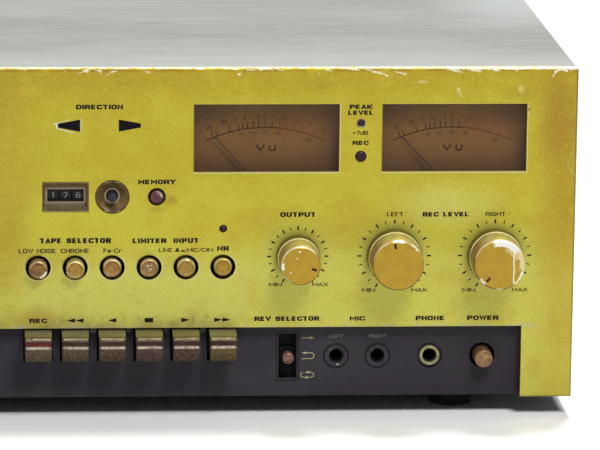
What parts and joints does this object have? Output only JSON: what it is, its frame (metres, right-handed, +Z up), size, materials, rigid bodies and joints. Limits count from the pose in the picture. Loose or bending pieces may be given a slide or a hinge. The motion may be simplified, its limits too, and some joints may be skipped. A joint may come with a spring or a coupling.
{
  "type": "cassette deck",
  "caption": "Front-loading stereo cassette deck with level meters, tape counter, push buttons, piano keys, level knobs and front jack sockets.",
  "frame": {"origin": "middle of the footprint, on the surface that the feet stand on", "axes": "+X to the right as seen from the front, along the deck's width, +Y from the front panel to the back, +Z up"},
  "size_m": [0.44, 0.3154, 0.175],
  "materials": {
    "gold": "worn satin gold anodising",
    "band": "matt dark grey paint",
    "cover": "worn grey paint",
    "steel": "plain zinc-plated steel",
    "rubber": "matt",
    "black_plastic": "matt",
    "smoked": "clear, slightly browned",
    "brown_metal": "worn brown bronze",
    "key_metal": "worn satin",
    "knob_gold": "satin gold anodising, chipped",
    "copper": "copper-gold anodising",
    "brass": "bright",
    "needle": "matt",
    "lamp": "dark red lens",
    "arrow": "unlit dark lens",
    "board": "phenolic board",
    "clear": "clear",
    "grey_plastic": "matt",
    "mauve": "satin",
    "belt": "matt"
  },
  "bodies": {
    "deck": {"front_panel": "gold", "lower_panel": "band", "cabinet_cover": "cover", "chassis_base": "steel", "rear_panel": "steel", "foot_front_left": "rubber", "foot_front_right": "rubber", "foot_rear_left": "rubber", "foot_rear_right": "rubber", "meter_housing": "black_plastic", "meter_window": "smoked", "lamp_board": "lamp", "direction_lamp_left": "arrow", "direction_lamp_right": "arrow", "counter_housing": "brown_metal", "switch_bank": "steel", "level_controls": "steel", "jack_board": "board", "microphone_socket_left": "black_plastic", "microphone_socket_right": "black_plastic", "headphone_socket": "brass", "cassette_well": "black_plastic", "drive_belt": "belt", "drive_motor": "steel", "transformer": "steel", "main_board": "board"},
    "door": {"cassette_door": "gold", "door_window": "clear"},
    "meter_needle_left": {"meter_needle_left": "needle"},
    "meter_needle_right": {"meter_needle_right": "needle"},
    "counter_drum_hundreds": {"counter_drum_hundreds": "black_plastic"},
    "counter_drum_tens": {"counter_drum_tens": "black_plastic"},
    "counter_drum_units": {"counter_drum_units": "black_plastic"},
    "reset_button": {"reset_button": "grey_plastic"},
    "memory_button": {"memory_button": "mauve"},
    "output_knob": {"output_knob": "knob_gold"},
    "record_knob_left": {"record_knob_left": "knob_gold"},
    "record_knob_right": {"record_knob_right": "knob_gold"},
    "selector_lever": {"selector_lever": "copper"},
    "power_button": {"power_button": "copper"},
    "spindle_left": {"spindle_left": "grey_plastic"},
    "spindle_right": {"spindle_right": "grey_plastic"},
    "flywheel_left": {"flywheel_left": "steel"},
    "flywheel_right": {"flywheel_right": "steel"},
    "head_block": {"head_block": "steel"},
    "motor_pulley": {"motor_pulley": "brass"},
    "eject_key": {"eject_key": "key_metal"},
    "pause_key": {"pause_key": "key_metal"},
    "record_key": {"record_key": "key_metal"},
    "rewind_key": {"rewind_key": "key_metal"},
    "reverse_play_key": {"reverse_play_key": "key_metal"},
    "stop_key": {"stop_key": "key_metal"},
    "play_key": {"play_key": "key_metal"},
    "fast_forward_key": {"fast_forward_key": "key_metal"},
    "low_noise_button": {"low_noise_button": "copper"},
    "chrome_button": {"chrome_button": "copper"},
    "ferrichrome_button": {"ferrichrome_button": "copper"},
    "limiter_button": {"limiter_button": "copper"},
    "input_button": {"input_button": "copper"},
    "noise_reduction_button": {"noise_reduction_button": "copper"}
  },
  "joints": [
    {"name": "left_meter_swing", "type": "hinge", "parent": "deck", "child": "meter_needle_left", "pos_m": [0.06835, -0.12425, 0.11245], "axis": [0, 1, 0], "range_deg": [0, 86], "stiffness_Nm_per_rad": 0.002, "springref_deg": -5.73},
    {"name": "right_meter_swing", "type": "hinge", "parent": "deck", "child": "meter_needle_right", "pos_m": [0.15995, -0.12425, 0.11245], "axis": [0, 1, 0], "range_deg": [0, 86], "stiffness_Nm_per_rad": 0.002, "springref_deg": -5.73},
    {"name": "reset_press", "type": "slide", "parent": "deck", "child": "reset_button", "axis": [0, 1, 0], "range_m": [0, 0.0025], "stiffness_N_per_m": 150, "springref_m": -0.002},
    {"name": "memory_press", "type": "slide", "parent": "deck", "child": "memory_button", "axis": [0, 1, 0], "range_m": [0, 0.0018], "stiffness_N_per_m": 150, "springref_m": -0.002},
    {"name": "power_press", "type": "slide", "parent": "deck", "child": "power_button", "axis": [0, 1, 0], "range_m": [0, 0.0045], "stiffness_N_per_m": 150, "springref_m": -0.002},
    {"name": "low_noise_press", "type": "slide", "parent": "deck", "child": "low_noise_button", "axis": [0, 1, 0], "range_m": [0, 0.0046], "stiffness_N_per_m": 150, "springref_m": -0.002},
    {"name": "chrome_press", "type": "slide", "parent": "deck", "child": "chrome_button", "axis": [0, 1, 0], "range_m": [0, 0.0046], "stiffness_N_per_m": 150, "springref_m": -0.002},
    {"name": "ferrichrome_press", "type": "slide", "parent": "deck", "child": "ferrichrome_button", "axis": [0, 1, 0], "range_m": [-0.0039, 0.001]},
    {"name": "limiter_press", "type": "slide", "parent": "deck", "child": "limiter_button", "axis": [0, 1, 0], "range_m": [-0.0039, 0.001]},
    {"name": "input_press", "type": "slide", "parent": "deck", "child": "input_button", "axis": [0, 1, 0], "range_m": [-0.0039, 0.001]},
    {"name": "noise_reduction_press", "type": "slide", "parent": "deck", "child": "noise_reduction_button", "axis": [0, 1, 0], "range_m": [-0.0052, 0.0005]},
    {"name": "output_turn", "type": "hinge", "parent": "deck", "child": "output_knob", "pos_m": [0.084, -0.13525, 0.0816], "axis": [0, 1, 0], "range_deg": [-258, 42]},
    {"name": "record_left_turn", "type": "hinge", "parent": "deck", "child": "record_knob_left", "pos_m": [0.13125, -0.13525, 0.0816], "axis": [0, 1, 0], "range_deg": [-144, 156]},
    {"name": "record_right_turn", "type": "hinge", "parent": "deck", "child": "record_knob_right", "pos_m": [0.18065, -0.13525, 0.0816], "axis": [0, 1, 0], "range_deg": [-9, 291]},
    {"name": "eject_key_press", "type": "hinge", "parent": "deck", "child": "eject_key", "pos_m": [-0.0966, -0.08025, 0.0405], "axis": [1, 0, 0], "range_deg": [0, 5], "stiffness_Nm_per_rad": 0.8, "springref_deg": -5.73},
    {"name": "pause_key_press", "type": "hinge", "parent": "deck", "child": "pause_key", "pos_m": [-0.0786, -0.08025, 0.0405], "axis": [1, 0, 0], "range_deg": [0, 5], "stiffness_Nm_per_rad": 0.8, "springref_deg": -5.73},
    {"name": "record_key_press", "type": "hinge", "parent": "deck", "child": "record_key", "pos_m": [-0.0426, -0.08025, 0.0405], "axis": [1, 0, 0], "range_deg": [0, 5], "stiffness_Nm_per_rad": 0.8, "springref_deg": -5.73},
    {"name": "rewind_key_press", "type": "hinge", "parent": "deck", "child": "rewind_key", "pos_m": [-0.0246, -0.08025, 0.0405], "axis": [1, 0, 0], "range_deg": [0, 5], "stiffness_Nm_per_rad": 0.8, "springref_deg": -5.73},
    {"name": "reverse_play_key_press", "type": "hinge", "parent": "deck", "child": "reverse_play_key", "pos_m": [-0.0066, -0.08025, 0.0405], "axis": [1, 0, 0], "range_deg": [0, 5], "stiffness_Nm_per_rad": 0.8, "springref_deg": -5.73},
    {"name": "stop_key_press", "type": "hinge", "parent": "deck", "child": "stop_key", "pos_m": [0.0114, -0.08025, 0.0405], "axis": [1, 0, 0], "range_deg": [0, 5], "stiffness_Nm_per_rad": 0.8, "springref_deg": -5.73},
    {"name": "play_key_press", "type": "hinge", "parent": "deck", "child": "play_key", "pos_m": [0.0294, -0.08025, 0.0405], "axis": [1, 0, 0], "range_deg": [0, 5], "stiffness_Nm_per_rad": 0.8, "springref_deg": -5.73},
    {"name": "fast_forward_key_press", "type": "hinge", "parent": "deck", "child": "fast_forward_key", "pos_m": [0.0474, -0.08025, 0.0405], "axis": [1, 0, 0], "range_deg": [0, 5], "stiffness_Nm_per_rad": 0.8, "springref_deg": -5.73},
    {"name": "selector_slide", "type": "slide", "parent": "deck", "child": "selector_lever", "axis": [0, 0, 1], "range_m": [-0.008, 0.008]},
    {"name": "door_tilt", "type": "hinge", "parent": "deck", "child": "door", "pos_m": [-0.13515, -0.12875, 0.07], "axis": [1, 0, 0], "range_deg": [0, 20]},
    {"name": "left_spindle_turn", "type": "hinge", "parent": "deck", "child": "spindle_left", "pos_m": [-0.1564, -0.12845, 0.1085], "axis": [0, 1, 0], "continuous": true},
    {"name": "right_spindle_turn", "type": "hinge", "parent": "deck", "child": "spindle_right", "pos_m": [-0.1139, -0.12845, 0.1085], "axis": [0, 1, 0], "continuous": true},
    {"name": "motor_turn", "type": "hinge", "parent": "deck", "child": "motor_pulley", "pos_m": [-0.13515, -0.10225, 0.138], "axis": [0, 1, 0], "continuous": true},
    {"name": "left_flywheel_turn", "type": "hinge", "parent": "deck", "child": "flywheel_left", "pos_m": [-0.16015, -0.10225, 0.0855], "axis": [0, 1, 0], "continuous": true},
    {"name": "right_flywheel_turn", "type": "hinge", "parent": "deck", "child": "flywheel_right", "pos_m": [-0.11015, -0.10225, 0.0855], "axis": [0, 1, 0], "continuous": true},
    {"name": "head_lift", "type": "slide", "parent": "deck", "child": "head_block", "axis": [0, 0, 1], "range_m": [0, 0.005]},
    {"name": "hundreds_drum_turn", "type": "hinge", "parent": "deck", "child": "counter_drum_hundreds", "pos_m": [-0.0354, -0.12345, 0.11148], "axis": [1, 0, 0], "continuous": true},
    {"name": "tens_drum_turn", "type": "hinge", "parent": "deck", "child": "counter_drum_tens", "pos_m": [-0.02923, -0.12345, 0.11148], "axis": [1, 0, 0], "continuous": true},
    {"name": "units_drum_turn", "type": "hinge", "parent": "deck", "child": "counter_drum_units", "pos_m": [-0.02306, -0.12345, 0.11148], "axis": [1, 0, 0], "continuous": true}
  ],
  "couplings": [
    {"joint": "motor_turn", "follows": "left_flywheel_turn", "ratio": 5.1667},
    {"joint": "right_flywheel_turn", "follows": "left_flywheel_turn", "ratio": 1},
    {"joint": "head_lift", "follows": "play_key_press", "m_per_rad": 0.0572},
    {"joint": "units_drum_turn", "follows": "right_spindle_turn", "ratio": 0.1},
    {"joint": "tens_drum_turn", "follows": "right_spindle_turn", "ratio": 0.01},
    {"joint": "hundreds_drum_turn", "follows": "right_spindle_turn", "ratio": 0.001}
  ]
}
